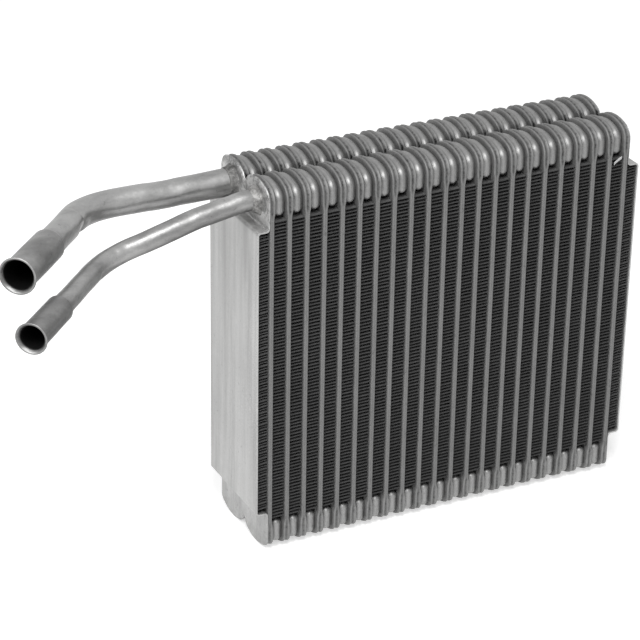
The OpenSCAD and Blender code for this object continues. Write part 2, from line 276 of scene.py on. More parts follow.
# corrugated fins; the two beside the end plates have values of their own
fin = dict(
    legs=90, halfHeight=94.2, lean=0.03, recess=0,
    endLegs=94, endHalfHeight=86.6, endLean=0.1, endRecess=0.6,
    thick=0.16, setback=1.2,       # of the strip, and of its front edge behind the tubes' edges
    level=4, crest=5,              # points of a leg and of a round
    crestDepth=0.5, crestTurn=0.84,  # width of a round, and the share of a half circle that it turns
    depths=[0, 0.5, 5, 61.1],      # places of points behind the front edge
    waver=0.07, edge=0.14, fade=3.0,  # unevenness of the legs and the front edge, and the depth it fades over
    legWaves=(1.4, 0.15),          # factors of Z and X in the noise of single legs
    bendWaves=(0.9, 6),            # factor of Z and divisor of the depth in the noise of the whole strip
    levelFade=(0.6, 1.0),          # share of half the width over which the front's unevenness ends
    tornFin=22, torn=[(228.0, -31.15, 90.8), (233.0, -31.15, 93.9)],
    tornWide=1.9, tornThick=0.2, tornBow=0.35, tornPoints=9, tornTilt=(0.2, 0.98),
)


# Middle line of a strip in X and Z: level legs to and fro, joined by squared-off rounds.
def serpentine(width, legs, rise):
    leg = np.arange(legs)[:, None]
    way = 1 - 2 * (leg % 2)
    level = width / 2 - fin["crestDepth"]
    flat = np.linspace(-1, 0.98, fin["level"])[None, :]
    angle = np.linspace(-0.5, 0.5, fin["crest"])[None, :] * math.pi * fin["crestTurn"]
    out, up = np.sqrt(np.cos(angle)), np.sign(angle) * np.sqrt(np.abs(np.sin(angle)))
    x = np.concatenate([way * level * flat, way * (level + fin["crestDepth"] * out)], axis=1)
    z = np.concatenate([rise * leg + 0 * flat, rise * (leg + 0.5) + rise * 0.5 * up], axis=1)
    line = np.stack([x, z], axis=-1).reshape(-1, 2)
    return line[:-fin["crest"]] - [0, rise * (legs - 1) / 2]


# One leg torn loose at its front edge: a ribbon from end to end, bowed upwards and tilted so that it
# faces up and forwards.
def addTornLeg(piece):
    along = np.linspace(0, 1, fin["tornPoints"])
    start, end = (np.array(p) for p in fin["torn"])
    bow = np.sin(along * math.pi)[:, None] * [0, 0, fin["tornBow"]]
    middle = start + along[:, None] * (end - start) + bow
    sin, cos = fin["tornTilt"]
    wide = np.array([0, -sin, cos]) * fin["tornWide"] / 2
    thick = np.array([0, cos, sin]) * fin["tornThick"] / 2
    corners = np.array([wide + thick, wide - thick, -wide - thick, thick - wide])
    piece.rod(middle[:, None, :] + corners)


# One strip folded to and fro, given a thickness along its normal and carried through the depth. The legs
# are a little unevenly spaced and lean, and their front edges are uneven, with every other one standing
# back by recess.
def makeFin(n, x0, x1, halfHeight, legs, lean, recess):
    thick = fin["thick"]
    rise = 2 * (halfHeight - thick) / legs
    line = serpentine(x1 - x0 - thick, legs, rise)
    ahead = np.gradient(line, axis=0)
    normal = np.stack([-ahead[:, 1], ahead[:, 0]], axis=-1) / np.linalg.norm(ahead, axis=1)[:, None]
    level = 1 - smoothStep(*fin["levelFade"], np.abs(line[:, 0]) / ((x1 - x0) / 2))
    (legZ, legX), (bendZ, bendY) = fin["legWaves"], fin["bendWaves"]
    legNoise = wobble(seeds["finLegs"] + n, 6, line[:, 1] * legZ, line[:, 0] * legX)
    leg = np.arange(len(line)) // (fin["level"] + fin["crest"])
    depths = np.array(fin["depths"])
    yFront = -core["depth"] / 2 + fin["setback"]
    sheets = []
    for side in (1, -1):
        for depth in depths if side > 0 else depths[::-1]:
            near = math.exp(-depth / fin["fade"])
            spot = line + side * thick / 2 * normal
            z = spot[:, 1] + lean * spot[:, 0]
            z = z + fin["waver"] * wobble(seeds["finWaves"] + n, 5, spot[:, 1] * bendZ, depth / bendY + 0 * z)
            z = z + fin["waver"] * near * level * legNoise
            y = yFront + depth + fin["edge"] * near * (1 + np.clip(legNoise, -1, 1)) / 2
            y = y + recess * near * level * (leg % 2)
            sheets.append(np.stack([np.clip((x0 + x1) / 2 + spot[:, 0], x0, x1), y,
                                    np.clip(z, -halfHeight, halfHeight)], axis=-1))
    piece = Surface()
    piece.sheet(np.array(sheets))
    if n == fin["tornFin"]:
        addTornLeg(piece)
    return piece.build(f"fin_strip_{n:02d}", metals["fin"], [f"fin_{n:02d}"], sharp=60)


# stamped end plates
endPlate = dict(
    thick=1.0, bendR=2.2, panelPoints=24, bendPoints=9,
    # round the sheet's long edge, between its two faces: share of the thickness and distance from the edge
    edgeR=0.3, edgeTurn=[(0.1, 0.06), (0.28, 0), (0.72, 0), (0.9, 0.06)], acrossPoints=40,
    creaseY=3.0, crease=0.26, creaseW=1.1,   # place, depth and width of the crease up the panel
    waver=0.14, waves=(34, 19),              # dents of the panel, and their scale along Z and Y
    flatMargin=2, flatEdge=8,                # dents and crease end before the bend, and fade over this height
    # a cap's drawn edge: inset and distance behind the cap's face, then before its back
    capFront=[(2.2, 0), (1.4, 0.06), (0.8, 0.18), (0.35, 0.38), (0.1, 0.6), (0, 0.8)],
    capBack=[(0.05, 0.07), (0.2, 0)],
)


# Outer and inner line of the bent sheet in X and Z from one cap to the other: cap, shelf, panel, shelf,
# cap, with round bends between them.
def endSection():
    thick, big = endPlate["thick"], endPlate["bendR"]
    small, high, shelfX = big - thick, core["panelHalf"], core["stackX"] - big
    lines = []
    for panelR, capR, inward in ((big, small, 0), (small, big, thick)):
        panel = np.linspace(0, high - big, endPlate["panelPoints"])[:, None] * [0, 1] + [inward, 0]
        lower = arc(big, high - big, panelR, math.pi, math.pi / 2, endPlate["bendPoints"])
        upper = arc(shelfX, high + small, capR, -math.pi / 2, 0, endPlate["bendPoints"])
        half = np.concatenate([panel[:-1], lower, upper])
        lines.append(np.concatenate([half[:0:-1] * [1, -1], half]))
    return lines


# Points as an array, mirrored in X to the far end of the core where wanted.
def placePlate(rings, mirrored):
    rings = np.array(rings)
    return rings * [-1, 1, 1] + [core["length"], 0, 0] if mirrored else rings


# The bent sheet carried through the depth round both of its long edges, its panel a little uneven and
# creased, and a lobed cap at each end: the shared outline beyond the shelf, drawn out.
def makeEndPlate(name, node, mirrored, seed):
    piece = Surface()
    outer, inner = endSection()
    half, edge = core["depth"] / 2, endPlate["edgeR"]
    across = np.linspace(-half + edge, half - edge, endPlate["acrossPoints"])
    turn = endPlate["edgeTurn"]
    columns = [(0.0, y) for y in across] + [(share, half - s) for share, s in turn]
    columns += [(1.0, y) for y in across[::-1]] + [(1 - share, -half + s) for share, s in turn]
    waveZ, waveY = endPlate["waves"]
    lines = []
    for share, y in columns:
        line = outer * (1 - share) + inner * share
        high = line[:, 1]
        flat = smoothStep(0, endPlate["flatEdge"], core["panelHalf"] - endPlate["flatMargin"] - np.abs(high))
        noise = np.clip(wobble(seed, 5, high / waveZ, y / waveY + 0 * high), -1, 1)
        dip = endPlate["waver"] * 0.5 * (1 + noise)
        dip = dip + endPlate["crease"] * math.exp(-abs(y - endPlate["creaseY"]) / endPlate["creaseW"])
        lines.append(np.stack([line[:, 0] + flat * dip, np.full(len(line), y), high], axis=-1))
    piece.sheet(placePlate(lines, mirrored), flip=mirrored)
    backX, low = core["stackX"], core["panelHalf"] + endPlate["bendR"] - endPlate["thick"]
    capX = backX - endPlate["thick"]
    drawn = [(inset, capX + behind) for inset, behind in endPlate["capFront"]]
    drawn += [(inset, backX - before) for inset, before in endPlate["capBack"]]
    for end in (1, -1):
        rings = []
        for inset, x in drawn:
            ring = upperOutline(inset, end < 0)
            ring = ring[ring[:, 1] >= low - 0.01]
            rings.append(atX(ring * [1, end], x))
        piece.rod(placePlate(rings, mirrored), flip=(end < 0) != mirrored)
    return piece.build(name, metals["plate"], [node], sharp=40)


# pipes: outer radius, socket's bore and length, radius of the bends, and slim, the radius that is missing
# between root and socket; points are the corners of the middle line, reach the way from the last one to
# the socket, turn its heading in degrees from -X towards -Y; sag: place along the pipe, length, depth;
# dents: place, angle round the pipe, length, width in degrees, depth
suction = dict(
    metal="suction", radius=8.0, bore=8.1, socket=43.0, bend=36.0, turn=46.5, reach=52.0, slim=0.22,
    points=[(7.6, tankY, 100.7), (-80.1, tankY, 100.7)],
    sag=[(50, 42, 0.75), (44, 8, 0.35), (84, 12, 0.3)],
    dents=[(109, -32, 3.6, 34, 1.5), (107.5, 40, 1.1, 52, 0.4), (104, 150, 9, 45, -0.45),
           (38, 45, 6, 32, 0.3), (50, 15, 5, 30, 0.25)],
    seed=51, brazeWidth=2.2, brazeSeed=61,
)
liquid = dict(
    metal="liquid", radius=6.0, bore=6.4, socket=39.0, bend=38.0, turn=46.5, reach=61.5, slim=0.2,
    points=[(7.6, -tankY, 101.9), (-1.4, -tankY, 101.9), (-28.8, -tankY, 96.9), (-82.8, -tankY, 82.5)],
    sag=[(62, 14, 0.3), (118, 12, -0.3)],
    dents=[(82, 50, 2.8, 26, 0.22), (89, 54, 2.8, 26, 0.28), (96, 56, 2.6, 26, 0.28),
           (108, -12, 1.5, 26, 0.6), (42, 60, 6, 36, 0.35)],
    seed=52, brazeWidth=3.6, brazeSeed=62,
)
pipeWall = dict(
    wall=1.1, shoulder=1.9,             # thickness, and the way over which the socket widens
    lip=2.8, lipH=1.25, lipCurve=1.7,   # length, height and curve of the flared lip
    edge=0.5, innerEdge=0.6, innerCurve=1.5, lipPoints=9,
    # round the lip: distance back from the mouth and down from the lip's height
    rim=[(0.25, 0.02), (0.04, 0.25), (0, 0.5), (0.12, 0.85), (0.5, 1.25)],
    around=72, step=0.45, backStep=2.0, arcPoints=24, lookAhead=0.4,
    slimAfter=(4, 24), slimBefore=(1, 12),  # where that slimness fades, after the root and before the socket
    waver=0.06, waves=(8, 1.5),         # unevenness, and its scale along and round the pipe
)


# Points of the middle line with an arc at every corner, and the length at each of them.
def bentPath(pipe):
    heading = math.radians(pipe["turn"])
    away = np.array([-math.cos(heading), -math.sin(heading), 0])
    corners = [np.array(p, dtype=float) for p in pipe["points"]]
    corners.append(corners[-1] + (pipe["reach"] + pipe["socket"]) * away)
    line = [corners[0][None, :]]
    for before, corner, after in zip(corners, corners[1:], corners[2:]):
        a = (corner - before) / np.linalg.norm(corner - before)
        b = (after - corner) / np.linalg.norm(after - corner)
        bend = math.acos(np.clip(a @ b, -1, 1))
        inward = (b - (a @ b) * a) / math.sin(bend)
        t = np.linspace(0, bend, pipeWall["arcPoints"])[:, None]
        start = corner - pipe["bend"] * math.tan(bend / 2) * a
        line.append(start + pipe["bend"] * (np.sin(t) * a + (1 - np.cos(t)) * inward))
    line.append(corners[-1][None, :])
    line = np.concatenate(line)
    run = np.concatenate([[0], np.cumsum(np.linalg.norm(np.diff(line, axis=0), axis=1))])
    return line, run


# Distance along the pipe and radius, in pairs: outside from the root to the lip at the mouth, round it,
# and back inside through the socket and the pipe's own bore to the root.
def pipeProfile(pipe, mouth):
    wall, lip, lipH, edge = (pipeWall[key] for key in ("wall", "lip", "lipH", "edge"))
    radius, bore = pipe["radius"], pipe["bore"]
    sleeve, thin, widens = bore + wall, radius - wall, mouth - pipe["socket"]
    out = np.arange(0, mouth - lip - edge, pipeWall["step"])
    outer = radius + (sleeve - radius) * smoothStep(widens, widens + pipeWall["shoulder"], out)
    flare = np.linspace(0, 1, pipeWall["lipPoints"])
    flared = [mouth - lip + flare * (lip - edge), sleeve + lipH * flare ** pipeWall["lipCurve"]]
    rim = np.array([(mouth - back, sleeve + lipH - down) for back, down in pipeWall["rim"]])
    inner = [mouth - edge - flare[1:] * (lip - pipeWall["innerEdge"]),
             bore + wall * (1 - flare[1:]) ** pipeWall["innerCurve"]]
    back = np.append(np.arange(mouth - lip - edge, edge, -pipeWall["backStep"]), 0)
    own = bore + (thin - bore) * smoothStep(widens + pipeWall["shoulder"], widens, back)
    return np.concatenate([np.stack([out, outer], axis=-1), np.stack(flared, axis=-1), rim,
                           np.stack(inner, axis=-1), np.stack([back, own], axis=-1)])


# Circles of the profile's radius carried along the bent line. The line sags, dents are pressed into the
# wall, and the outside is a little slimmer between root and socket, and uneven.
def makePipe(name, node, pipe):
    line, run = bentPath(pipe)
    mouth, step = run[-1], pipeWall["lookAhead"]
    profile = pipeProfile(pipe, mouth)
    s, r = profile[:, 0], profile[:, 1]

    def onLine(at):
        return np.stack([np.interp(at, run, line[:, i]) for i in range(3)], axis=-1)

    centre = onLine(s)
    for at, length, depth in pipe["sag"]:
        centre[:, 2] -= depth * np.exp(-(np.abs(s - at) / length) ** 4)
    along = onLine(np.minimum(s + step, mouth)) - onLine(np.minimum(s - step, mouth - 2 * step))
    along /= np.linalg.norm(along, axis=1)[:, None]
    side = np.cross([0, 0, 1.0], along)
    side /= np.linalg.norm(side, axis=1)[:, None]
    up = np.cross(along, side)
    phi = np.linspace(0, 2 * math.pi, pipeWall["around"], endpoint=False)
    cos, sin = np.cos(phi)[None, :], np.sin(phi)[None, :]
    outside = (np.arange(len(s)) < np.argmax(s))[:, None]
    socketStart, (near, far) = mouth - pipe["socket"], pipeWall["slimBefore"]
    middle = smoothStep(*pipeWall["slimAfter"], s) * smoothStep(socketStart - near, socketStart - far, s)
    radius = r[:, None] - pipe["slim"] * middle[:, None] * outside + 0 * phi[None, :]
    for at, angle, length, width, depth in pipe["dents"]:
        off = (np.degrees(phi) - angle + 180) % 360 - 180
        press = np.exp(-((s - at) / length)[:, None] ** 2 - (off / width)[None, :] ** 2)
        radius = radius - depth * press
    waveAlong, waveRound = pipeWall["waves"]
    uneven = wobble(pipe["seed"], 6, s[:, None] / waveAlong, cos * waveRound, sin * waveRound)
    radius = radius + pipeWall["waver"] * uneven * outside
    ring = cos[:, :, None] * side[:, None, :] + sin[:, :, None] * up[:, None, :]
    piece = Surface()
    piece.grid(centre[:, None, :] + radius[:, :, None] * ring, closeRows=True, closeCols=True)
    return piece.build(name, metals[pipe["metal"]], [node], sharp=50)


# brazing alloy round the pipes; the widths stand with the pipes
braze = dict(
    length=4.5, capX=6.6, around=72, rings=14,
    least=0.2, curve=1.5, into=0.4,   # width's share at the tip, hollow of the flank, reach into the pipe
    body=0.78, broad=0.16, lumps=0.1,  # mean share of the width, and how strong broad and small lumps are
    broadScale=(2.2, 2), lumpScale=(6, 7),
)


# A cone with a hollow flank and an uneven foot, turned about the pipe's root and closed inside the pipe's
# wall.
def makeBraze(name, node, pipe):
    y, z = pipe["points"][0][1:]
    share = np.linspace(0, 1, braze["rings"])
    phi = np.linspace(0, 2 * math.pi, braze["around"], endpoint=False)
    cos, sin = np.cos(phi)[None, :], np.sin(phi)[None, :]
    x = braze["capX"] - braze["length"] * share
    grow = pipe["brazeWidth"] * (braze["least"] + (1 - braze["least"]) * (1 - share) ** braze["curve"])
    grow[-1] = 0
    (broadRound, broadAlong), (lumpRound, lumpAlong) = braze["broadScale"], braze["lumpScale"]
    seed = pipe["brazeSeed"]
    broad = wobble(seed, 7, broadRound * cos, broadRound * sin, broadAlong * share[:, None])
    lumps = wobble(seed + 9, 9, lumpRound * cos, lumpRound * sin, lumpAlong * share[:, None])
    uneven = braze["body"] + braze["broad"] * np.clip(broad, -1, 1) + braze["lumps"] * lumps
    r = pipe["radius"] + np.maximum(grow[:, None] * uneven, 0.0)
    r = np.concatenate([r, np.full((2, len(phi)), pipe["radius"] - braze["into"])])
    x = np.append(x, [x[-1], x[0]])
    points = [np.broadcast_to(x[:, None], r.shape), y + r * np.cos(phi), z + r * np.sin(phi)]
    piece = Surface()
    piece.grid(np.stack(points, axis=-1), closeRows=True, closeCols=True, flip=True)
    return piece.build(name, metals["braze"], [node], sharp=60)


# A socket of a shader tree that takes part in Python sums and products.
class Num:
    def __init__(self, shade, socket):
        self.shade, self.socket = shade, socket

    def maths(self, operation, *values):
        return self.shade.node("ShaderNodeMath", values, operation=operation)

    def __add__(self, other):
        return self.maths("ADD", self, other)

    def __sub__(self, other):
        return self.maths("SUBTRACT", self, other)

    def __rsub__(self, other):
        return self.maths("SUBTRACT", other, self)

    def __mul__(self, other):
        return self.maths("MULTIPLY", self, other)

    __radd__, __rmul__ = __add__, __mul__

    def power(self, exponent):
        return self.maths("POWER", self, exponent)

    def sine(self):
        return self.maths("SINE", self)

    def size(self):
        return self.maths("ABSOLUTE", self)

    # 0 below low, 1 above high, smooth between them.
    def between(self, low, high):
        return self.shade.node("ShaderNodeMapRange", {"Value": self, "From Min": low, "From Max": high},
                               interpolation_type="SMOOTHSTEP")


# One material. node() adds any node: values go to sockets, a Num by a link.
class Shade:
    def __init__(self, name):
        self.material = bpy.data.materials.new(name)
        self.material.use_nodes = True
        self.tree = self.material.node_tree
        self.tree.nodes.clear()
        self.place = self.node("ShaderNodeTexCoord", output="Object")

    def node(self, kind, values=(), output=0, **settings):
        made = self.tree.nodes.new(kind)
        for key, value in settings.items():
            setattr(made, key, value)
        for key, value in values.items() if isinstance(values, dict) else enumerate(values):
            if isinstance(value, Num):
                self.tree.links.new(value.socket, made.inputs[key])
            else:
                made.inputs[key].default_value = value
        return Num(self, made.outputs[output])

    # Noise of 0 to 1 with scale given in grains a metre and stretched along an axis.
    def noise(self, scale, detail, rough, stretch=(1, 1, 1), shift=(0, 0, 0)):
        spot = self.node("ShaderNodeMapping", {"Vector": self.place, "Scale": stretch, "Location": shift})
        values = {"Vector": spot, "Scale": scale, "Detail": detail, "Roughness": rough}
        return self.node("ShaderNodeTexNoise", values)

    def axis(self, letter):
        return self.node("ShaderNodeSeparateXYZ", [self.place], output="XYZ".index(letter))

    # A number as a slightly tinted grey.
    def grey(self, value, tint=(1.0, 1.0, 1.0)):
        return self.node("ShaderNodeCombineColor", [value * share for share in tint])

    # The surface node with its inputs; bump is the height, its depth in metres and its strength.
    def finish(self, colour, rough, metallic, bump=None):
        values = {"Base Color": colour, "Roughness": rough, "Metallic": metallic}
        if bump:
            inputs = dict(zip(("Height", "Distance", "Strength"), bump))
            values["Normal"] = self.node("ShaderNodeBump", inputs)
        surface = self.node("ShaderNodeBsdfPrincipled", values)
        end = self.tree.nodes.new("ShaderNodeOutputMaterial")
        self.tree.links.new(surface.socket, end.inputs["Surface"])
        return self.material


# the tubes' marks and painted shade: a pair is where a mask starts and ends, in metres; seam, groove and
# rims count from the middle of the nearest tube, valley from the middle of the depth, tanks from the
# middle of the height
tankMarksAndShade = dict(
    seam=(0.0001, 0.0011), groove=(0.0017, 0.0022), grooveEnd=(0.0024, 0.0040), rims=(0.0019, 0.0023),
    wornRims=(0.0019, 0.0025), valley=(0.0010, 0.0055), tanks=(0.0950, 0.0985),
    blotNoise=(520, 3, 0.7), blotRange=(0.40, 0.72),
    seamDark=0.3, grooveShade=0.2, rimDark=0.17, valleyShade=0.45, blots=0.12, seamBlots=0.3,
    base=0.78, tankTone=0.22, footTone=0.16, rimWear=0.22,
)


# Distance along X from the middle of the nearest tube, in metres.
def besideTube(shade):
    fromFirst = shade.axis("X") - core["firstX"] * mm
    return shade.node("ShaderNodeMath", [fromFirst, core["pitch"] * mm / 2], operation="PINGPONG")


# Darker tone on the tanks: painted shade in the groove beside each rim and down between the two rows; the
# rims a little darker, and a dark seam in each rim, blotchy like the rest of the tanks. The tubes are
# darker beside the fins.
def tankShadow(shade):
    marks, across = tankMarksAndShade, besideTube(shade)
    seam = 1 - across.between(*marks["seam"])
    groove = across.between(*marks["groove"]) * (1 - across.between(*marks["grooveEnd"]))
    rims = 1 - across.between(*marks["rims"])
    blots = shade.noise(*marks["blotNoise"]).between(*marks["blotRange"])
    valley = 1 - shade.axis("Y").size().between(*marks["valley"])
    tanks = shade.axis("Z").size().between(*marks["tanks"])
    # painted shade: the groove and valley masks darken the groove beside each rim and the notch between the
    # rows
    dirtAndShade = marks["grooveShade"] * groove + marks["rimDark"] * rims + marks["seamDark"] * seam
    dirtAndShade = dirtAndShade + marks["valleyShade"] * valley + (marks["blots"] + marks["seamBlots"] * seam) * blots
    foot = (-1 * shade.axis("Z")).between(*marks["tanks"])
    return marks["base"] + marks["tankTone"] * tanks + marks["footTone"] * foot - tanks * dirtAndShade


# The rims are rougher than the drawn beads between them.
def tankWear(shade):
    return tankMarksAndShade["rimWear"] * (1 - besideTube(shade).between(*tankMarksAndShade["wornRims"]))


# the caps' marks and painted shade: above and below count from the middle of the height, edge from the
# middle of the depth
capMarksAndShade = dict(
    burntNoise=(230, 5, 0.8), burntRange=(0.43, 0.60), fluxNoise=(280, 4, 0.6), flux=9,
    above=(0.0880, 0.0960), below=(0.0850, 0.1120), edge=(0.0285, 0.0312), bumps=(0.0890, 0.0960),
    edgeShade=0.3, burntDark=0.62, capTone=0.14, footDark=0.08, footBurnt=0.16,
)


# Dark blotches that run on from the caps over the brazing alloy.
def burnt(shade):
    return shade.noise(*capMarksAndShade["burntNoise"]).between(*capMarksAndShade["burntRange"])


# Soot and flux burnt on round the pipes, with a trace of it at the foot; the upper caps' rounded edges get
# painted shade.
def capShadow(shade):
    marks, patches = capMarksAndShade, burnt(shade)
    above = shade.axis("Z").between(*marks["above"])
    below = (-1 * shade.axis("Z")).between(*marks["below"])
    edge = shade.axis("Y").size().between(*marks["edge"])
    # painted shade on the rounded edges, soot in the burnt blotches
    upper = above * (marks["edgeShade"] * edge + marks["burntDark"] * patches)
    lower = below * (marks["footDark"] + marks["footBurnt"] * patches)
    return 1 - upper + marks["capTone"] * above - lower


# Flux and spilt alloy round the pipes.
def capBumps(shade):
    marks = capMarksAndShade
    return marks["flux"] * shade.noise(*marks["fluxNoise"]) * shade.axis("Z").between(*marks["bumps"])


# the pipes' marks and painted shade: down is the upward part of the face's direction; the other pairs
# count along the pipe from the start of its socket in metres, but inBore from the bore's radius in
# millimetres
pipeMarksAndShade = dict(
    down=(-0.9, 0.35), socket=(0.0004, 0.0014), ring=(-0.0004, 0.0003), ringEnd=(0.0008, 0.0018),
    inside=(0.004, 0.008), inBore=(0.1, 0.7), worn=(0.0014, 0.0026), underShadeNoise=(120, 4, 0.7),
    underShade=0.25, blots=0.2, socketDark=0.12, ringHighlight=0.9, boreShade=0.85, socketWear=0.08,
)


# Distance beyond the start of the pipe's socket, and distance from the socket's axis.
def socketPlace(shade, pipe):
    corner, heading = pipe["points"][-1], math.radians(pipe["turn"])
    x, y, z = (shade.axis(letter) for letter in "XYZ")
    cos, sin = math.cos(heading), math.sin(heading)
    start = pipe["reach"] - (corner[0] * cos + corner[1] * sin)
    along = -1 * (x * cos + y * sin) - start * mm
    aside = x * sin - y * cos - (corner[0] * sin - corner[1] * cos) * mm
    high = z - corner[2] * mm
    return along, (aside * aside + high * high).power(0.5)


# Painted shade on the side that faces down, blotched, and deep in the bore; a duller socket, and a painted
# highlight round its shoulder.
def pipeShadow(pipe):
    def shadow(shade):
        marks, facing = pipeMarksAndShade, shade.node("ShaderNodeNewGeometry", output="Normal")
        upward = shade.node("ShaderNodeSeparateXYZ", [facing], output="Z")
        down = 1 - upward.between(*marks["down"])
        along, radius = socketPlace(shade, pipe)
        socket = along.between(*marks["socket"])
        ring = along.between(*marks["ring"]) * (1 - along.between(*marks["ringEnd"]))
        low, high = ((pipe["bore"] + beyond) * mm for beyond in marks["inBore"])
        inside = along.between(*marks["inside"]) * (1 - radius.between(low, high))
        # painted shade under the pipe and deep in the bore, and a painted highlight on the ring at the
        # socket's shoulder
        underShade = down * (marks["underShade"] + marks["blots"] * shade.noise(*marks["underShadeNoise"]))
        tone = 1 - marks["socketDark"] * socket + marks["ringHighlight"] * ring
        return (1 - underShade) * tone * (1 - marks["boreShade"] * inside)
    return shadow


# The socket is rougher than the pipe.
def pipeWear(pipe):
    return lambda shade: pipeMarksAndShade["socketWear"] * socketPlace(shade, pipe)[0].between(*pipeMarksAndShade["worn"])


# brazed or drawn aluminium: noises as grains a metre, detail and roughness, ranges that make patches of
# them, and how much each counts for the tone, the roughness and the height
dull = dict(
    cloud=(28, 4, 0.6), grain=(800, 3, 0.65), marks=(300, 4, 0.65), patch=(70, 5, 0.7), specks=(330, 4, 0.7),
    streaks=(70, 4, 0.65), dents=(75, 3, 0.5),
    patchRange=(0.52, 0.72), speckRange=(0.60, 0.70), streakRange=(0.35, 0.72),
    toneBase=0.62, toneCloud=0.34, toneGrain=0.26, toneMarks=0.26, tonePatch=0.16, toneSpecks=0.25,
    roughBase=0.08, roughCloud=0.12, roughPatch=0.12, roughMarks=0.08, highGrain=0.4, highMarks=0.6,
    tint=(1.0, 0.998, 0.99), bumpDepth=0.00008, bumpStrength=0.5,
)


# A grey with cloudy and fine variation, stretched drawing marks, a paler, rougher bloom in patches and
# darker specks. Broad dents break its highlights, streaks run along it, shadow is a share of the tone
# that changes with the place, wear is added to the roughness and bumps to the height.
def dullMetal(name, tone, rough, metallic, stretch, shift,
              dents=0.0, streaks=0.0, shadow=None, wear=None, bumps=None):
    shade = Shade(name)
    cloud = shade.noise(*dull["cloud"], shift=shift)
    grain = shade.noise(*dull["grain"], shift=shift)
    marks = shade.noise(*dull["marks"], stretch=stretch, shift=shift)
    patch = shade.noise(*dull["patch"], shift=shift).between(*dull["patchRange"])
    specks = shade.noise(*dull["specks"], shift=shift).between(*dull["speckRange"])
    value = dull["toneBase"] + dull["toneCloud"] * cloud + dull["toneGrain"] * grain
    value = value + dull["toneMarks"] * marks + dull["tonePatch"] * patch - dull["toneSpecks"] * specks
    value = tone * value
    if streaks:
        runs = shade.noise(*dull["streaks"], stretch=stretch, shift=shift).between(*dull["streakRange"])
        value = value * (1 - streaks * runs)
    if shadow:
        value = value * shadow(shade)
    roughness = rough - dull["roughBase"] + dull["roughCloud"] * cloud
    roughness = roughness + dull["roughPatch"] * patch + dull["roughMarks"] * marks
    if wear:
        roughness = roughness + wear(shade)
    height = dull["highGrain"] * grain + dull["highMarks"] * marks
    height = height + dents * shade.noise(*dull["dents"], shift=shift)
    if bumps:
        height = height + bumps(shade)
    bump = (height, dull["bumpDepth"], dull["bumpStrength"])
    return shade.finish(shade.grey(value, dull["tint"]), roughness, metallic, bump)


# the fins' looks: noises as above, spacing of the louvres in metres, then masks and how much each counts
finLook = dict(
    cloud=(40, 4, 0.6), grain=(700, 3, 0.6), louvre=0.00125,
    inside=(0.0297, 0.0303), torn=(0.03064, 0.03080),   # distances in Y where the folds and a torn leg start
    # the dark tone is painted shade, darkest at the front edges; the folds' share is painted light deeper in,
    # and the torn leg's a painted highlight
    dark=0.050, folds=0.082, tornHighlight=0.5, base=0.60, toneCloud=0.45, toneGrain=0.35,
    rough=0.55, roughCloud=0.1, metallic=0.35,
    highLouvre=0.5, highGrain=0.3, bumpDepth=0.0004, bumpStrength=0.5,
)


# Thin strip with louvres: bands through the depth catch the light in turn. Its very dark tone is painted
# shade, darkest at the front edges; deeper in, the folds get painted light, and a torn leg that stands out
# before the folds is painted bright as a highlight.
def finMetal():
    shade, look = Shade("finStrip"), finLook
    cloud = shade.noise(*look["cloud"])
    grain = shade.noise(*look["grain"])
    louvre = (shade.axis("Y") * (2 * math.pi / look["louvre"])).sine()
    inside = 1 - shade.axis("Y").size().between(*look["inside"])
    torn = shade.axis("Y").size().between(*look["torn"])
    tone = look["base"] + look["toneCloud"] * cloud + look["toneGrain"] * grain
    # painted shade at the front edges, painted light deeper in the folds, a painted highlight on the torn leg
    value = (look["dark"] + look["folds"] * inside + look["tornHighlight"] * torn) * tone
    height = louvre * look["highLouvre"] + grain * look["highGrain"]
    roughness = look["rough"] + look["roughCloud"] * cloud
    return shade.finish(shade.grey(value), roughness, look["metallic"],
                        (height, look["bumpDepth"], look["bumpStrength"]))


# the brazing alloy's looks; rear is where, in metres along Y, the mask of the rear pipe starts and ends
brazeLook = dict(
    lumps=(380, 5, 0.7), cloud=(90, 3, 0.6), rear=(0.000, 0.010), tone=0.15, toneLumps=0.26,
    burntDark=0.55, rearDark=0.35, tint=(1.0, 0.99, 0.97), rough=0.50, roughCloud=0.20, metallic=0.8,
    bumpDepth=0.0005, bumpStrength=0.9,
)


# Lumpy alloy with burnt blotches, darker at the rear pipe.
def brazeMetal():
    shade, look = Shade("brazeAlloy"), brazeLook
    lumps = shade.noise(*look["lumps"])
    cloud = shade.noise(*look["cloud"])
    rear = shade.axis("Y").between(*look["rear"])
    value = (look["tone"] + look["toneLumps"] * lumps) * (1 - look["burntDark"] * burnt(shade))
    value = value * (1 - look["rearDark"] * rear)
    roughness = look["rough"] + look["roughCloud"] * cloud
    return shade.finish(shade.grey(value, look["tint"]), roughness, look["metallic"],
                        (lumps, look["bumpDepth"], look["bumpStrength"]))


# the floor in metres, its paint, and the strengths of its glow and of the world
studio = dict(
    floorZ=-0.1146, floorSize=12.0, floorTone=0.80, floorCloud=0.02, floorNoise=(1.5, 2, 0.5), floorRough=0.9,
    floorGlow=0.54, world=0.34, seenWorld=1.0,
)


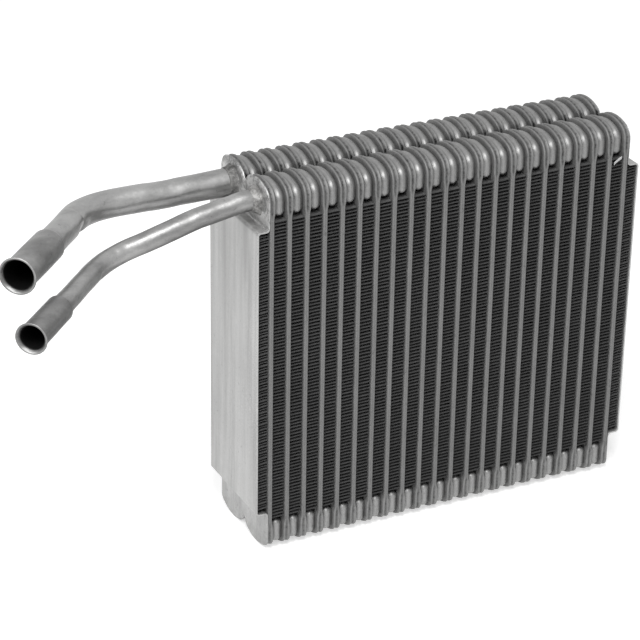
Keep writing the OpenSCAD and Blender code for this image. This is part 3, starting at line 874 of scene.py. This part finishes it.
# Pale matt paint that also glows for the camera and for reflections, but lights nothing.
def floorPaint():
    shade = Shade("floorPaint")
    cloud = shade.noise(*studio["floorNoise"])
    tone = shade.grey(studio["floorTone"] + studio["floorCloud"] * cloud)
    paint = shade.finish(tone, studio["floorRough"], 0.0)
    tree = shade.tree
    end, surface = tree.nodes["Material Output"], tree.nodes["Principled BSDF"]
    rays, glow, both, mixed = (tree.nodes.new(kind) for kind in (
        "ShaderNodeLightPath", "ShaderNodeEmission", "ShaderNodeAddShader", "ShaderNodeMixShader"))
    seen = sum(Num(shade, rays.outputs[f"Is {kind} Ray"]) for kind in ("Camera", "Glossy", "Transmission"))
    glow.inputs["Strength"].default_value = studio["floorGlow"]
    tree.links.new(surface.outputs[0], both.inputs[0])
    tree.links.new(glow.outputs[0], both.inputs[1])
    tree.links.new(seen.socket, mixed.inputs[0])
    tree.links.new(surface.outputs[0], mixed.inputs[1])
    tree.links.new(both.outputs[0], mixed.inputs[2])
    tree.links.new(mixed.outputs[0], end.inputs["Surface"])
    return paint


# name, tone, roughness, metallic, and how the drawing marks are stretched and shifted
metals = dict(
    tube=dullMetal("tubePlate", 0.24, 0.45, 0.75, (1, 1, 0.10), (0, 0, 0), shadow=tankShadow, wear=tankWear),
    plate=dullMetal("endSheet", 0.43, 0.48, 0.85, (1, 1, 0.05), (1.3, 0, 0), streaks=0.30, shadow=capShadow,
                   bumps=capBumps),
    suction=dullMetal("suctionTube", 0.34, 0.33, 0.92, (0.25, 0.5, 1), (0, 2.1, 0), dents=13.0, streaks=0.45,
                      shadow=pipeShadow(suction), wear=pipeWear(suction)),
    liquid=dullMetal("liquidTube", 0.33, 0.38, 0.92, (0.25, 0.5, 1), (0.7, 2.1, 0), dents=13.0, streaks=0.45,
                     shadow=pipeShadow(liquid), wear=pipeWear(liquid)),
    fin=finMetal(),
    braze=brazeMetal(),
)

for n in range(1, core["tubes"] + 1):
    makeTube(n)
print("tubes made")

endFin = (fin["endHalfHeight"], fin["endLegs"], fin["endLean"], fin["endRecess"])
innerFin = (fin["halfHeight"], fin["legs"], fin["lean"], fin["recess"])
makeFin(1, endPlate["thick"], core["stackX"], *endFin)
makeFin(core["tubes"] + 1, core["length"] - core["stackX"], core["length"] - endPlate["thick"], *endFin)
for n in range(2, core["tubes"] + 1):
    left = core["firstX"] + (n - 2) * core["pitch"] + core["tubeHalf"]
    makeFin(n, left, left + core["pitch"] - 2 * core["tubeHalf"], *innerFin)
print("fins made")

makeEndPlate("pipe_side_plate", "pipe_end_plate", False, seeds["pipeSidePlate"])
makeEndPlate("far_side_plate", "blind_end_plate", True, seeds["farSidePlate"])
makePipe("suction_tube", "suction_pipe", suction)
makePipe("liquid_tube", "liquid_pipe", liquid)
makeBraze("suction_braze_ring", "suction_braze", suction)
makeBraze("liquid_braze_ring", "liquid_braze", liquid)
print("end plates and pipes made")

# the floor
mesh = bpy.data.meshes.new("floor")
reach = studio["floorSize"] / 2
corners = [(-reach, -reach, 0), (reach, -reach, 0), (reach, reach, 0), (-reach, reach, 0)]
mesh.from_pydata(corners, [], [(0, 1, 2, 3)])
floor = bpy.data.objects.new("floor", mesh)
floor.location.z = studio["floorZ"]
mesh.materials.append(floorPaint())
bpy.context.scene.collection.objects.link(floor)

# the world lights with one strength and is seen, also in reflections, with another
world = bpy.data.worlds.new("studio")
bpy.context.scene.world = world
world.use_nodes = True
tree = world.node_tree
tree.nodes.clear()
rays = tree.nodes.new("ShaderNodeLightPath")
background = tree.nodes.new("ShaderNodeBackground")
white = tree.nodes.new("ShaderNodeBackground")
mixed = tree.nodes.new("ShaderNodeMixShader")
end = tree.nodes.new("ShaderNodeOutputWorld")
background.inputs["Color"].default_value = (1, 1, 1, 1)
background.inputs["Strength"].default_value = studio["world"]
white.inputs["Strength"].default_value = studio["seenWorld"]
white.inputs["Color"].default_value = (1, 1, 1, 1)
seen = rays.outputs["Is Camera Ray"]
for kind in ("Glossy", "Transmission"):
    either = tree.nodes.new("ShaderNodeMath")
    either.operation, either.use_clamp = "ADD", True
    tree.links.new(seen, either.inputs[0])
    tree.links.new(rays.outputs[f"Is {kind} Ray"], either.inputs[1])
    seen = either.outputs[0]
tree.links.new(seen, mixed.inputs[0])
tree.links.new(background.outputs[0], mixed.inputs[1])
tree.links.new(white.outputs[0], mixed.inputs[2])
tree.links.new(mixed.outputs[0], end.inputs["Surface"])


# places and sizes in metres, power in watts
lamps = dict(
    key=dict(place=(-0.9, -0.5, 1.0), size=(0.6, 0.6), power=10.5),
    front=dict(place=(-0.25, -0.75, 1.2), size=(0.3, 0.8), power=13),
)
lampAim = (0.1, 0, 0)


# A rectangular area lamp that faces lampAim.
def softLight(name, place, size, power):
    data = bpy.data.lights.new(name, "AREA")
    data.shape = "RECTANGLE"
    data.size, data.size_y, data.energy = size[0], size[1], power
    lamp = bpy.data.objects.new(name, data)
    lamp.location = place
    lamp.rotation_euler = (Vector(lampAim) - Vector(place)).to_track_quat("-Z", "Y").to_euler()
    bpy.context.scene.collection.objects.link(lamp)


for name, lamp in lamps.items():
    softLight(name, **lamp)

# the camera as fitted to the photo: angles in degrees, azimuth from +Y towards +X, elevation downwards
camera = dict(
    place=(-0.5331, -1.1649, 0.6511), azimuth=26.78, elevation=26.11, roll=0.99, lens=142.24, sensor=36.0,
)
azimuth, elevation, roll = (math.radians(camera[k]) for k in ("azimuth", "elevation", "roll"))
ahead = math.cos(elevation)
forward = Vector((math.sin(azimuth) * ahead, math.cos(azimuth) * ahead, -math.sin(elevation)))
level = Vector((math.cos(azimuth), -math.sin(azimuth), 0))
right = level * math.cos(roll) + level.cross(forward) * math.sin(roll)
upward = right.cross(forward)
data = bpy.data.cameras.new("camera")
data.lens, data.sensor_width, data.sensor_fit = camera["lens"], camera["sensor"], "HORIZONTAL"
viewer = bpy.data.objects.new("camera", data)
turned = Matrix((right, upward, -forward)).transposed().to_4x4()
viewer.matrix_world = Matrix.Translation(camera["place"]) @ turned
bpy.context.scene.collection.objects.link(viewer)
bpy.context.scene.camera = viewer
bpy.context.scene.view_settings.view_transform = "Standard"

print("scene made")
